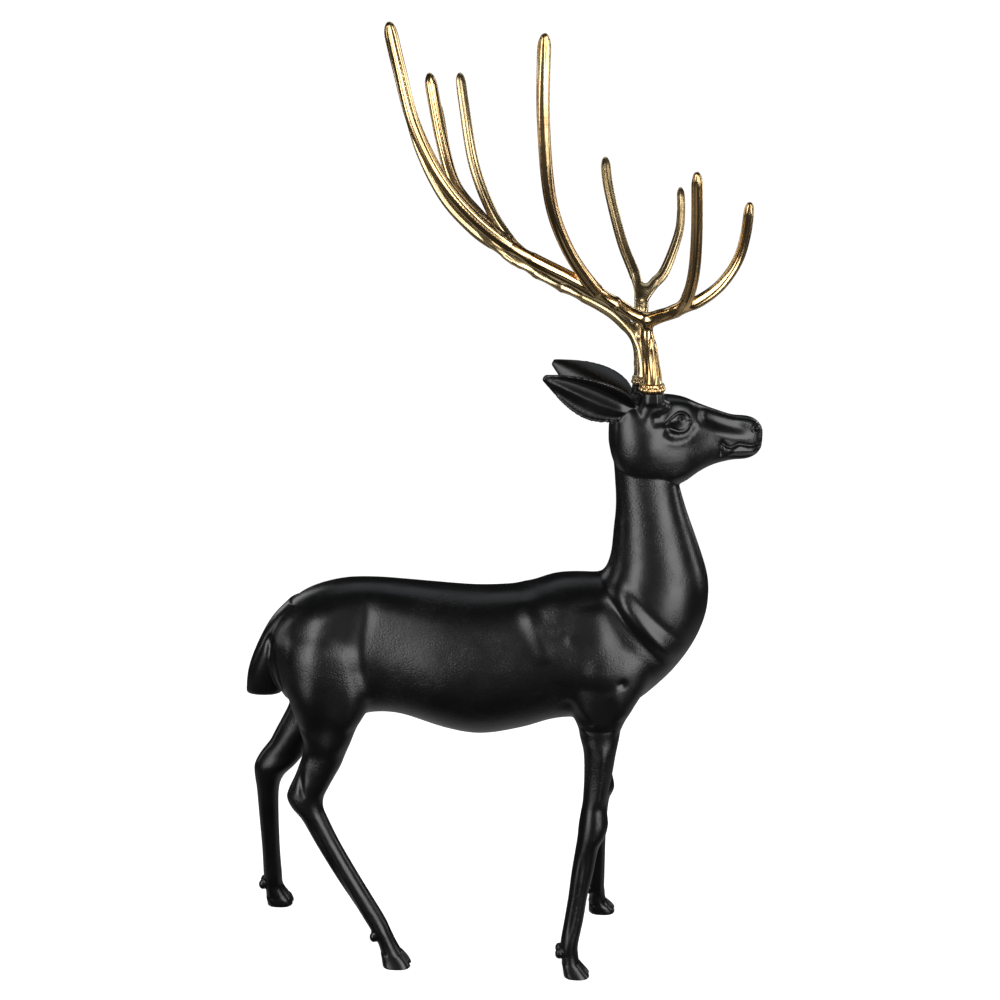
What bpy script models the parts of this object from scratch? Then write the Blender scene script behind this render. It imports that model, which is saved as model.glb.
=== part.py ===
"""A standing stag: one black cast figure and two polished antlers, each a casting of its own.

The deer faces +X, its right side faces -Y, and it stands on its four soles at z = 0.
Pose, proportions and carving are thousandths of the figure's height. What fits or seats is in metres.
"""
import math

import bmesh
import bpy
from mathutils import Matrix, Vector

# Driving dimensions, in metres
FIGURE_HEIGHT = 0.700      # soles to the highest antler tip
STUB_RADIUS = 0.0088       # the stubs on the head that carry the antlers
SEAT_GAP = 0.0003          # between a stub and the antler that rests on it
COLLAR_LIP = 0.0010        # how far the antler's collar stands out past its stub
BEAD_RADIUS = 0.0019       # knobs round the collar
TINE_RADIUS = 0.0039       # an antler tine at its middle
EAR_WALL = 0.0046          # thickness of an ear at its middle

UNIT = FIGURE_HEIGHT / 1000
SEAT_LEVEL = 651           # top of the stubs
HEAD_TURN = math.radians(9)
HEAD_PIVOT = (150, 0)      # x and y of the upright line that the head is turned about
BEAD_COUNT = 14
FOOTPRINT_MIDDLE = (-10, -5)   # x and y, in the tables below, of the point that becomes the origin

# Fineness of the skins in thousandths, how often their joins are smoothed over, and the facets kept
BODY_GRAIN = 2.4
ANTLER_GRAIN = 2.1
TRUNK_PASS_COUNT = 24
BODY_PASS_COUNT = 3
ANTLER_PASS_COUNT = 2
BODY_FACET_COUNT = 5400
ANTLER_FACET_COUNT = 1900

# A stub on the head, in thousandths: it widens downwards from its neck and sits on a low mound
STUB_DEPTH = 35            # how far it reaches down into the head
STUB_NECK = 9              # length of the round top under the seat
STUB_SPARE = 8             # what stands over its seat before the cut
STUB_FOOT = 1.3            # radius at its lower end, in radii of the top
MOUND_RADIUS = 15
MOUND_STRETCH = (1.27, 1, 0.73)
MOUND_DEPTH = 17           # middle of the mound under the seat
MOUND_SHARE = 0.72         # its y, as a share of the stub's

# The upper legs are eased with the trunk, the lower legs and the top of the neck with the whole
UPPER_LEG_SLICE_COUNT = 7
LOWER_LEG_FIRST = 3
NECK_TOP_FIRST = 7

# How much smaller each of the first slices is, so that a shell's end stays inside the one it meets
UPPER_LEG_INSETS = (0, 0, 0, 0, 0, 1.5, 5)
LOWER_LEG_INSETS = (6, 3, 0.5)
NECK_TOP_INSETS = (4, 2.6, 1.6, 0.8)

# The plain ring that the collar's beads sit on, in radii of a bead
COLLAR_RISE = 0.9
COLLAR_FOOT = 0.4
COLLAR_TOP = 0.2
COLLAR_DEPTH = 4

# Slices stacked along +X: x, lowest z, highest z, middle y, half width
TORSO = (
    (-254, 340, 367, 0, 12),
    (-246, 317, 391, 0, 27),
    (-232, 300, 408, 0, 40),
    (-207, 287, 426, 0, 50),
    (-171, 282, 437, 0, 53),
    (-136, 287, 439, 0, 48),
    (-106, 286, 437, 0, 50),
    (-60, 272, 433, 0, 58),
    (-20, 266, 431, 0, 62),
    (25, 274, 435, 0, 59),
    (60, 285, 447, 0, 51),
    (96, 288, 449, 0, 52),
    (131, 292, 446, 0, 49),
    (166, 327, 444, 0, 44),
    (191, 357, 442, 0, 36),
    (210, 387, 436, 0, 22),
)

# Slices stacked along +Z: z, rear x, front x, middle y, half width
NECK = (
    (315, 96, 159, 0, 30),
    (345, 91, 187, 0, 42),
    (375, 89, 207, 0, 48),
    (405, 89, 219, 0, 50),
    (431, 93, 222, 0, 49),
    (451, 110, 220, 0, 46),
    (471, 117, 214, 0, 42),
    (496, 119, 205, 0, 37),
    (526, 121, 194, 0, 31),
    (557, 119, 185, 0, 26),
    (587, 116, 179, 0, 23),
    (612, 117, 169, 0, 20),
    (629, 127, 159, 0, 15),
)

# Slices of the straight head stacked along +X: x, lowest z, highest z, middle y, half width
HEAD = (
    (113, 591, 619, 0, 10),
    (119, 571, 631, 0, 20),
    (133, 555, 638, 0, 28),
    (151, 547, 642, 0, 31),
    (171, 546, 643, 0, 30),
    (189, 551, 640, 0, 27),
    (206, 562, 633, 0, 21),
    (222, 569, 627, 0, 17),
    (240, 573, 621, 0, 15),
    (256, 574, 619, 0, 14),
    (266, 578, 615, 0, 12),
    (272, 585, 608, 0, 7),
)

TAIL = (
    (304, -280, -242, 0, 11),
    (311, -280, -239, 0, 14),
    (335, -276, -235, 0, 19),
    (365, -264, -224, 0, 23),
    (393, -248, -207, 0, 25),
    (414, -228, -191, 0, 22),
)

NEAR_HIND_LEG = (
    (410, -210, -155, -14, 12),
    (380, -228, -141, -31, 25),
    (345, -230, -137, -35, 25),
    (315, -226, -139, -37, 23),
    (295, -221, -144, -38, 21),
    (278, -216, -154, -38, 19),
    (264, -212, -160, -38, 17),
    (250, -213, -166, -37, 15),
    (235, -218, -172, -37, 14),
    (222, -223, -179, -37, 13),
    (207, -230, -187, -37, 13),
    (196, -233, -192, -37, 13),
    (184, -228, -193, -38, 12),
    (170, -217, -188, -39, 11),
    (140, -201, -174, -42, 10),
    (98, -177, -151, -46, 10),
    (56, -151, -127, -50, 10),
    (41, -142, -120, -52, 10),
    (27, -135, -114, -53, 10),
    (14, -131, -107, -54, 11),
    (6, -130, -100, -55, 12),
    (0, -129, -97, -56, 13),
    (-8, -129, -97, -56, 13),
)

FAR_HIND_LEG = (
    (410, -216, -160, 14, 12),
    (380, -234, -146, 31, 25),
    (345, -238, -149, 34, 25),
    (315, -238, -161, 35, 23),
    (295, -238, -173, 36, 20),
    (272, -243, -185, 36, 18),
    (257, -250, -196, 36, 16),
    (242, -258, -208, 36, 15),
    (227, -266, -219, 36, 14),
    (211, -278, -227, 36, 13),
    (197, -285, -238, 36, 13),
    (182, -286, -252, 38, 12),
    (164, -285, -259, 40, 11),
    (129, -285, -262, 44, 10),
    (78, -285, -264, 50, 10),
    (43, -286, -264, 54, 10),
    (28, -286, -264, 56, 10),
    (18, -285, -260, 57, 11),
    (10, -285, -255, 58, 12),
    (3, -284, -253, 59, 13),
    (-8, -284, -254, 60, 13),
)

NEAR_FORELEG = (
    (410, 77, 147, -18, 14),
    (375, 71, 161, -31, 23),
    (340, 73, 159, -34, 23),
    (313, 77, 146, -35, 21),
    (295, 82, 136, -36, 19),
    (278, 87, 131, -37, 17),
    (259, 92, 127, -39, 15),
    (231, 93, 123, -40, 13),
    (203, 92, 118, -42, 12),
    (189, 90, 119, -43, 13),
    (175, 88, 120, -44, 14),
    (162, 87, 117, -46, 13),
    (147, 85, 110, -47, 12),
    (119, 81, 105, -50, 11),
    (91, 78, 99, -53, 10),
    (63, 74, 95, -56, 10),
    (36, 70, 90, -60, 10),
    (24, 71, 90, -61, 10),
    (13, 72, 92, -62, 11),
    (6, 73, 98, -63, 12),
    (0, 74, 103, -64, 13),
    (-8, 74, 103, -64, 13),
)

FAR_FORELEG = (
    (410, 87, 157, 18, 14),
    (375, 81, 167, 31, 23),
    (340, 83, 163, 34, 23),
    (313, 87, 151, 35, 21),
    (295, 91, 142, 36, 19),
    (278, 95, 137, 36, 17),
    (259, 98, 132, 37, 15),
    (231, 99, 128, 38, 13),
    (203, 99, 125, 40, 12),
    (189, 99, 127, 41, 13),
    (175, 99, 129, 42, 14),
    (160, 100, 124, 44, 12),
    (139, 101, 122, 46, 11),
    (105, 102, 121, 51, 10),
    (54, 102, 121, 57, 10),
    (35, 101, 121, 59, 10),
    (26, 103, 122, 61, 10),
    (17, 103, 123, 62, 11),
    (10, 103, 128, 63, 12),
    (3, 103, 134, 64, 13),
    (-8, 103, 134, 64, 13),
)

# Right eye of the straight head: x, y, z and radius
EYE = (181, -21.8, 620.5, 5.2)

# Dewclaws: x, y and z of the middle of each leg's pair
DEWCLAWS = ((-138, -53, 35), (-287, 56, 29), (69, -60, 26), (103, 60, 33))
DEWCLAW_SPREAD = 5.5
DEWCLAW_RADIUS = 5

# Middle of each stub: x, y
STUBS = {"right": (154, -18), "left": (148, 18)}

# Ears: base, tip, the way the cup opens, and the greatest half width
EARS = (
    ((134, -15, 631), (46, -62, 673), (0.30, -0.82, -0.30), 20),
    ((136, 18, 631), (53, 60, 665), (0.45, 0.72, -0.50), 21),
)

# Antler tines: points x, y, z, then the thickness at the root and at the tip as shares of TINE_RADIUS
RIGHT_TINES = (
    (((154, -18, 640), (154, -18, 668), (151, -21, 689), (147, -27, 712), (146, -30, 724)), 2.05, 1.3),
    (((146, -28, 724), (159, -40, 731), (172, -52, 738), (181, -64, 750), (186, -80, 778),
      (186, -98, 820), (182, -122, 873)), 1.45, 0.95),
    (((163, -42, 732), (179, -54, 741), (197, -62, 751), (214, -70, 767), (227, -78, 790),
      (232, -87, 815), (233, -98, 845)), 1.25, 0.88),
    (((146, -28, 724), (126, -36, 735), (107, -46, 748), (90, -58, 764), (67, -82, 801),
      (51, -104, 848), (45, -126, 918), (46, -142, 990)), 1.35, 1.05),
    (((126, -36, 736), (92, -52, 757), (70, -60, 770), (23, -76, 796), (-18, -90, 828),
      (-49, -101, 866), (-71, -112, 913), (-83, -122, 964), (-90, -130, 1000)), 1.3, 1.0),
    (((23, -74, 797), (1, -76, 814), (-17, -74, 831), (-39, -66, 857), (-52, -56, 897),
      (-64, -45, 958)), 1.1, 1.0),
)

LEFT_TINES = (
    (((148, 18, 640), (147, 19, 662), (145, 22, 678), (142, 25, 690), (140, 28, 700)), 2.05, 1.3),
    (((143, 24, 688), (143, 31, 706), (144, 41, 726), (145, 50, 744)), 1.2, 1.35),
    (((143, 32, 710), (143, 43, 732), (138, 59, 756), (124, 80, 790),
      (109, 103, 844), (105, 114, 874)), 1.3, 0.88),
    (((142, 43, 732), (155, 56, 747), (168, 66, 760), (182, 83, 795), (185, 92, 819),
      (184, 101, 844)), 1.35, 0.75),
    (((145, 22, 680), (137, 28, 700), (120, 38, 717), (101, 47, 728), (75, 58, 739), (51, 68, 749),
      (27, 80, 767), (7, 90, 788), (-15, 102, 819), (-34, 116, 866), (-45, 129, 926),
      (-50, 135, 959)), 1.3, 0.92),
    (((75, 58, 741), (49, 69, 750), (21, 79, 765), (-7, 87, 782), (-33, 94, 799), (-64, 102, 831),
      (-89, 110, 878), (-105, 118, 928), (-108, 120, 941)), 1.1, 0.9),
    (((21, 79, 763), (-5, 84, 781), (-25, 80, 803), (-53, 66, 853), (-64, 52, 915),
      (-67, 49, 932)), 1.0, 0.85),
)

# Metal that fills the crotch over each column: middle, radius and stretch
RIGHT_WEB = ((150, -33, 725), 7, (1.6, 1, 0.86))
LEFT_WEB = ((145, 51, 744), 7, (1.3, 1, 0.86))


def spot(point):
    """A point of the tables, in metres from the origin."""
    x, y, z = point
    return Vector((x - FOOTPRINT_MIDDLE[0], y - FOOTPRINT_MIDDLE[1], z)) * UNIT


def clear_scene():
    """Removes whatever the file holds."""
    for item in list(bpy.data.objects):
        bpy.data.objects.remove(item, do_unlink=True)


def collection(name):
    """A collection of this name, linked to the scene."""
    group = bpy.data.collections.new(name)
    bpy.context.scene.collection.children.link(group)
    return group


def material(name, colour, roughness, metallic):
    """A Principled BSDF material."""
    made = bpy.data.materials.new(name)
    made.use_nodes = True
    shader = made.node_tree.nodes["Principled BSDF"]
    shader.inputs["Base Color"].default_value = (*colour, 1)
    shader.inputs["Roughness"].default_value = roughness
    shader.inputs["Metallic"].default_value = metallic
    return made


def between(rows, steps):
    """Rows of numbers with smooth rows put in between, by a Catmull-Rom curve through them."""
    found = []
    last = len(rows) - 1
    for i in range(last):
        before, here, after, beyond = rows[max(i - 1, 0)], rows[i], rows[i + 1], rows[min(i + 2, last)]
        for step in range(steps):
            t = step / steps
            found.append(tuple(
                0.5 * (2 * b + (c - a) * t + (2 * a - 5 * b + 4 * c - d) * t ** 2
                       + (3 * b - a - 3 * c + d) * t ** 3)
                for a, b, c, d in zip(before, here, after, beyond)))
    return found + [tuple(rows[last])]


def skin(shape, rings):
    """Closes a bmesh skin through rings of equal numbers of points."""
    loops = [[shape.verts.new(point) for point in ring] for ring in rings]
    sides = len(loops[0])
    for lower, upper in zip(loops, loops[1:]):
        for i in range(sides):
            j = (i + 1) % sides
            shape.faces.new((lower[i], lower[j], upper[j], upper[i]))
    shape.faces.new(loops[0])
    shape.faces.new(loops[-1])


def loft(shape, slices, axis, place=Matrix(), sides=24, steps=3, squareness=2.2):
    """Adds a closed loft through superellipse slices stacked along X or Z, sizes in thousandths."""
    rings = []
    for at, low, high, middle, half in between(slices, steps):
        ring = []
        for i in range(sides):
            angle = 2 * math.pi * i / sides
            c, s = math.cos(angle), math.sin(angle)
            along = (low + high) / 2 + (high - low) / 2 * math.copysign(abs(c) ** (2 / squareness), c)
            across = middle + half * math.copysign(abs(s) ** (2 / squareness), s)
            point = (at, across, along) if axis == "X" else (along, across, at)
            ring.append(place @ spot(point))
        rings.append(ring)
    skin(shape, rings)


def ear(shape, base, tip, opens, half_width):
    """Adds a cupped leaf: a crescent section carried from the base to the tip."""
    start, end = spot(base), spot(tip)
    way = (end - start).normalized()
    side = way.cross(Vector(opens)).normalized()
    out = side.cross(way).normalized()
    rings = []
    stations = 12
    across = 9
    for k in range(stations + 1):
        t = k / stations
        middle = start.lerp(end, t)
        width = half_width * UNIT * (0.36 * (1 - t) + 0.83 * math.sin(math.pi * t ** 0.85) + 0.16 * t)
        cup = 0.60 * width * math.sin(math.pi * min(1, 0.25 + 0.7 * t))
        wall = EAR_WALL * (1 - 0.25 * t)
        ring = []
        for i in range(across):
            v = -1 + 2 * i / (across - 1)
            ring.append(middle + side * width * v + out * (cup * v * v - wall / 2 * (1 - 0.25 * v * v)))
        for i in reversed(range(across)):
            v = -1 + 2 * i / (across - 1)
            ring.append(middle + side * width * v + out * (cup * v * v + wall / 2 * (1 - 0.25 * v * v)))
        rings.append(ring)
    skin(shape, rings)


def ball(shape, middle, radius, stretch=(1, 1, 1), turn=Matrix()):
    """Adds a ball or an egg, its middle and radius in thousandths."""
    place = turn @ Matrix.Translation(spot(middle)) @ Matrix.Diagonal((*stretch, 1))
    bmesh.ops.create_uvsphere(shape, u_segments=12, v_segments=8, radius=radius * UNIT, matrix=place)


def mesh_object(name, shape, group):
    """Turns a bmesh into an object in a collection, its faces pointing out."""
    bmesh.ops.recalc_face_normals(shape, faces=shape.faces)
    mesh = bpy.data.meshes.new(name)
    shape.to_mesh(mesh)
    shape.free()
    item = bpy.data.objects.new(name, mesh)
    group.objects.link(item)
    return item


def evaluated_mesh(item):
    """The object's mesh with its modifiers in it."""
    bpy.context.view_layer.update()
    graph = bpy.context.evaluated_depsgraph_get()
    return bpy.data.meshes.new_from_object(item.evaluated_get(graph))


def settle(item):
    """Keeps what the modifiers have made and takes them off."""
    made = evaluated_mesh(item)
    item.modifiers.clear()
    item.data = made


def fuse(item, grain, rounds):
    """Makes one skin of an object's overlapping shells and rounds off where they join."""
    remesh = item.modifiers.new("One skin", "REMESH")
    remesh.mode = "VOXEL"
    remesh.voxel_size = grain * UNIT
    remesh.use_smooth_shade = True
    ease = item.modifiers.new("Eased joins", "SMOOTH")
    ease.factor = 0.5
    ease.iterations = rounds
    settle(item)


def thin_out(item, facets):
    """Brings a skin down to about this many triangles."""
    made = item.modifiers.new("Facets", "DECIMATE")
    made.ratio = facets / max(facets, 2 * len(item.data.polygons))
    made.use_collapse_triangulate = True
    settle(item)


def cut(item, name, low, high, cutters):
    """Takes a box, given by its corners in metres, off an object."""
    shape = bmesh.new()
    size = Vector(high) - Vector(low)
    place = Matrix.Translation((Vector(low) + Vector(high)) / 2) @ Matrix.Diagonal((*size, 1))
    bmesh.ops.create_cube(shape, size=1, matrix=place)
    cutter = mesh_object(name, shape, cutters)
    cutter.hide_render = True
    cutter.display_type = "WIRE"
    made = item.modifiers.new(name, "BOOLEAN")
    made.operation = "DIFFERENCE"
    made.solver = "EXACT"
    made.object = cutter


def head_place():
    """The turn of the head about its upright line."""
    pivot = Matrix.Translation(spot((*HEAD_PIVOT, 0)))
    return pivot @ Matrix.Rotation(HEAD_TURN, 4, "Z") @ pivot.inverted()


def drawn_in(slices, insets):
    """The slices with the first of them made smaller by the insets."""
    found = list(slices)
    for i, inset in enumerate(insets):
        at, low, high, middle, half = slices[i]
        found[i] = (at, low + inset, high - inset, middle, half - inset)
    return found


def stub_on_head(shape, x, y):
    """Adds one stub, not cut yet: its round top, the widening foot and the mound under it."""
    top, neck, foot = SEAT_LEVEL + STUB_SPARE, SEAT_LEVEL - STUB_NECK, SEAT_LEVEL - STUB_DEPTH
    for low, high, wide in ((neck, top, 1), (foot, neck, STUB_FOOT)):
        place = Matrix.Translation(spot((x, y, (low + high) / 2)))
        bmesh.ops.create_cone(shape, cap_ends=True, segments=20, radius1=wide * STUB_RADIUS,
                              radius2=STUB_RADIUS, depth=(high - low) * UNIT, matrix=place)
    ball(shape, (x, MOUND_SHARE * y, SEAT_LEVEL - MOUND_DEPTH), MOUND_RADIUS, MOUND_STRETCH)


def body(parts, cutters, finish):
    """The black casting: trunk, neck, head, ears, tail, legs, hooves and stubs in one."""
    trunk = bmesh.new()
    loft(trunk, TORSO, "X")
    loft(trunk, NECK, "Z")
    for leg in (NEAR_HIND_LEG, FAR_HIND_LEG, NEAR_FORELEG, FAR_FORELEG):
        loft(trunk, drawn_in(leg[:UPPER_LEG_SLICE_COUNT], UPPER_LEG_INSETS), "Z")
    item = mesh_object("deer_body", trunk, parts)
    fuse(item, BODY_GRAIN, TRUNK_PASS_COUNT)

    whole = bmesh.new()
    whole.from_mesh(item.data)
    loft(whole, HEAD, "X", place=head_place())
    x, y, z, radius = EYE
    for side in (-1, 1):
        ball(whole, (x, side * y, z), radius, turn=head_place())
    loft(whole, drawn_in(NECK[NECK_TOP_FIRST:], NECK_TOP_INSETS), "Z")
    loft(whole, TAIL, "Z")
    for leg in (NEAR_HIND_LEG, FAR_HIND_LEG, NEAR_FORELEG, FAR_FORELEG):
        loft(whole, drawn_in(leg[LOWER_LEG_FIRST:], LOWER_LEG_INSETS), "Z", sides=16, squareness=2)
    for x, y, z in DEWCLAWS:
        for side in (-1, 1):
            ball(whole, (x, y + side * DEWCLAW_SPREAD, z), DEWCLAW_RADIUS, (1, 0.8, 1.3))
    for base, tip, opens, half_width in EARS:
        ear(whole, base, tip, opens, half_width)
    for x, y in STUBS.values():
        stub_on_head(whole, x, y)
    mesh = bpy.data.meshes.new("deer_body")
    bmesh.ops.recalc_face_normals(whole, faces=whole.faces)
    whole.to_mesh(mesh)
    whole.free()
    item.data = mesh
    fuse(item, BODY_GRAIN, BODY_PASS_COUNT)
    thin_out(item, BODY_FACET_COUNT)
    reach = FIGURE_HEIGHT
    cut(item, "sole_cutter", (-reach, -reach, -reach), (reach, reach, 0), cutters)
    for side, stub in STUBS.items():
        seat = spot((*stub, SEAT_LEVEL))
        corner = Vector((1, 1, 0)) * (STUB_RADIUS + COLLAR_LIP)
        over = Vector((0, 0, reach))
        cut(item, side + "_stub_cutter", seat - corner, seat + corner + over, cutters)
    item.data.materials.append(finish)
    return item


def tine(points, root, tip):
    """A tapering round bar along a smooth curve, as a mesh with welded caps."""
    curve = bpy.data.curves.new("tine", "CURVE")
    curve.dimensions = "3D"
    curve.bevel_depth = TINE_RADIUS
    curve.bevel_resolution = 2
    curve.resolution_u = 5
    curve.use_fill_caps = True
    spline = curve.splines.new("BEZIER")
    spline.bezier_points.add(len(points) - 1)
    for i, (knot, point) in enumerate(zip(spline.bezier_points, points)):
        knot.co = spot(point)
        knot.handle_left_type = knot.handle_right_type = "AUTO"
        share = i / (len(points) - 1)
        knot.radius = tip + (root - tip) * (1 - share) ** 2.2
    item = bpy.data.objects.new("tine", curve)
    bpy.context.scene.collection.objects.link(item)
    mesh = evaluated_mesh(item)
    bpy.data.objects.remove(item, do_unlink=True)
    return mesh


def antler(name, tines, web, stub, parts, cutters, finish):
    """One antler: its tines and beaded collar fused, cut flat where it seats on its stub."""
    shape = bmesh.new()
    for points, root, tip in tines:
        part = bmesh.new()
        mesh = tine(points, root, tip)
        part.from_mesh(mesh)
        bmesh.ops.remove_doubles(part, verts=part.verts, dist=0.00002)
        part.to_mesh(mesh)
        part.free()
        shape.from_mesh(mesh)
    ball(shape, *web)
    seat = spot((*stub, SEAT_LEVEL)) + Vector((0, 0, SEAT_GAP))
    ring = STUB_RADIUS + COLLAR_LIP - BEAD_RADIUS
    place = Matrix.Translation(seat + Vector((0, 0, COLLAR_RISE * BEAD_RADIUS)))
    bmesh.ops.create_cone(shape, cap_ends=True, segments=2 * BEAD_COUNT,
                          radius1=ring + COLLAR_FOOT * BEAD_RADIUS,
                          radius2=ring + COLLAR_TOP * BEAD_RADIUS,
                          depth=COLLAR_DEPTH * BEAD_RADIUS, matrix=place)
    for i in range(BEAD_COUNT):
        angle = 2 * math.pi * i / BEAD_COUNT
        bead = place @ Vector((ring * math.cos(angle), ring * math.sin(angle), 0))
        bmesh.ops.create_uvsphere(shape, u_segments=10, v_segments=6, radius=BEAD_RADIUS,
                                  matrix=Matrix.Translation(bead))
    item = mesh_object(name, shape, parts)
    fuse(item, ANTLER_GRAIN, ANTLER_PASS_COUNT)
    thin_out(item, ANTLER_FACET_COUNT)
    reach = FIGURE_HEIGHT
    cut(item, name + "_seat_cutter", (-reach, -reach, -reach), (reach, reach, seat.z), cutters)
    item.data.materials.append(finish)
    return item


def main():
    """Builds the three castings."""
    clear_scene()
    parts = collection("deer_sculpture")
    cutters = collection("cutters")
    black = material("Satin black", (0.012, 0.012, 0.013), 0.38, 0.0)
    brass = material("Polished brass", (0.62, 0.43, 0.18), 0.16, 1.0)
    body(parts, cutters, black)
    antler("right_antler", RIGHT_TINES, RIGHT_WEB, STUBS["right"], parts, cutters, brass)
    antler("left_antler", LEFT_TINES, LEFT_WEB, STUBS["left"], parts, cutters, brass)


main()
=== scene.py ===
"""The dressed stag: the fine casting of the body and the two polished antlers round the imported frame.

Every skin is worked out with numpy in thousandths of the figure's height, in the frame of the part's own
tables: x along the deer, y to its left, z up. The last step puts it in metres.
"""
from __future__ import annotations

import logging
import math
from dataclasses import dataclass, field
from enum import Enum
from typing import Any, Iterable, Sequence

import bmesh
import bpy
import numpy as np
from mathutils import Euler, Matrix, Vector


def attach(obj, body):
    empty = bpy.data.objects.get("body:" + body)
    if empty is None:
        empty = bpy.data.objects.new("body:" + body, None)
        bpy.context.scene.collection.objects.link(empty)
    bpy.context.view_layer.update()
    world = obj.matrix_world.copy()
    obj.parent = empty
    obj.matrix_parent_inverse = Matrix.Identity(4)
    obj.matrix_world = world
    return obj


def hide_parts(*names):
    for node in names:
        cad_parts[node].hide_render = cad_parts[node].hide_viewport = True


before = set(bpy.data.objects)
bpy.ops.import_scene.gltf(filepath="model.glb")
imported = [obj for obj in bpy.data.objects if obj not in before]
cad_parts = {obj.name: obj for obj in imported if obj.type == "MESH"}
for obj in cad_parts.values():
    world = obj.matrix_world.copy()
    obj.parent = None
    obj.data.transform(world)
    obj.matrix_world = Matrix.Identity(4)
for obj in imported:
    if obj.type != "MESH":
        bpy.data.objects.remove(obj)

LOG = logging.getLogger("stag")

UNIT = 0.0007
"""One thousandth of the figure's height, in metres."""
ORIGIN = np.array((-10.0, -5.0, 0.0))
"""The point of the tables that is the origin of the frame."""
SEAT_LEVEL = 651.0
"""Height of the stubs' tops, which the antlers sit on."""
HEAD_TURN = math.radians(9)
"""How far the head looks to the deer's left."""
HEAD_PIVOT = np.array((150.0, 0.0, 0.0))
"""A point of the upright line that the head turns about."""
NEAR_POLE = 0.08
"""How far an egg's end rings lie from its poles, in radians."""

Array = np.ndarray
Mesh = bpy.types.Mesh
Row = tuple[float, ...]
Point = tuple[float, float, float]


class Side(Enum):
    """Which side of the figure a tool mark is made on."""

    RIGHT = -1
    BOTH = 0
    LEFT = 1
    ALL_ROUND = 2


class Axis(Enum):
    """The axis that the slices of a loft are stacked along."""

    X = "X"
    Z = "Z"


def stood(name: str, data: bpy.types.ID) -> bpy.types.Object:
    """Stands some data in the scene.

    Args:
        name: The object's name.
        data: A mesh, a light or a camera.

    Returns:
        The new object.
    """
    item = bpy.data.objects.new(name, data)
    bpy.context.scene.collection.objects.link(item)
    return item


def turned(points: Array, angle: float) -> Array:
    """Turns points about the head's upright line.

    Args:
        points: Points in thousandths, one per row.
        angle: Turn in radians, counter-clockwise from above.

    Returns:
        The turned points.
    """
    c, s = math.cos(angle), math.sin(angle)
    away = points - HEAD_PIVOT
    x, y, z = away[..., 0], away[..., 1], away[..., 2]
    return HEAD_PIVOT + np.stack((c * x - s * y, s * x + c * y, z), axis=-1)


def turned_way(ways: Array, angle: float) -> Array:
    """Turns directions about the upright axis by an angle in radians."""
    return turned(ways + HEAD_PIVOT, angle) - HEAD_PIVOT


def through(rows: Sequence[Row] | Array, steps: int) -> Array:
    """Puts smooth rows in between rows of numbers.

    The curve is Catmull-Rom: between rows b and c, with a before and d after, it is
    half of 2b + (c - a)t + (2a - 5b + 4c - d)t^2 + (3b - a - 3c + d)t^3.

    Args:
        rows: The rows that the curve passes through.
        steps: Rows made for each one given.

    Returns:
        The rows of the curve, the last one given among them.
    """
    table = np.asarray(rows, float)
    last = len(table) - 1
    share = np.arange(last * steps + 1) / steps
    i = np.minimum(share.astype(int), last - 1)
    t = (share - i)[:, None]
    a, b = table[np.maximum(i - 1, 0)], table[i]
    c, d = table[i + 1], table[np.minimum(i + 2, last)]
    return 0.5 * (2 * b + (c - a) * t + (2 * a - 5 * b + 4 * c - d) * t ** 2
                  + (3 * b - a - 3 * c + d) * t ** 3)


def loft(rows: Sequence[Row], axis: Axis, sides: int = 56, steps: int = 5, squareness: float = 2.2) -> Array:
    """A skin through slices, as a function of the slice and of the angle round it.

    At angle a a slice's point is its middle plus its half sizes times the cosine and the sine of a, each
    raised to 2 / squareness with its sign kept.

    Args:
        rows: Place of the slice, its low and high side, the middle of y and the half width.
        axis: The way the slices are stacked.
        sides: Points round a slice.
        steps: Rows made for each slice given.
        squareness: 2 for ellipses, more for squarer slices.

    Returns:
        Points of shape (rows, sides, 3).
    """
    at, low, high, middle, half = (column[:, None] for column in through(rows, steps).T)
    angle = 2 * np.pi * np.arange(sides) / sides
    c, s = np.cos(angle), np.sin(angle)
    c = np.sign(c) * np.abs(c) ** (2 / squareness)
    s = np.sign(s) * np.abs(s) ** (2 / squareness)
    along = (low + high) / 2 + (high - low) / 2 * c
    across = middle + half * s
    level = at + 0 * along
    return np.stack((level, across, along) if axis is Axis.X else (along, across, level), axis=-1)


def egg(middle: Point, radii: Point, rings: int = 16, sides: int = 24) -> Array:
    """An egg: its middle plus its radii times the point at latitude u and longitude v of a unit ball.

    Args:
        middle: Its middle.
        radii: Its half sizes along x, y and z.
        rings: Points from pole to pole.
        sides: Points round it.

    Returns:
        Points of shape (rings, sides, 3).
    """
    u = np.linspace(-np.pi / 2 + NEAR_POLE, np.pi / 2 - NEAR_POLE, rings)[:, None]
    v = 2 * np.pi * np.arange(sides) / sides
    unit = np.stack((np.cos(u) * np.cos(v), np.cos(u) * np.sin(v), np.sin(u) + 0 * v), axis=-1)
    return np.asarray(middle) + unit * np.asarray(radii)


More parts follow.
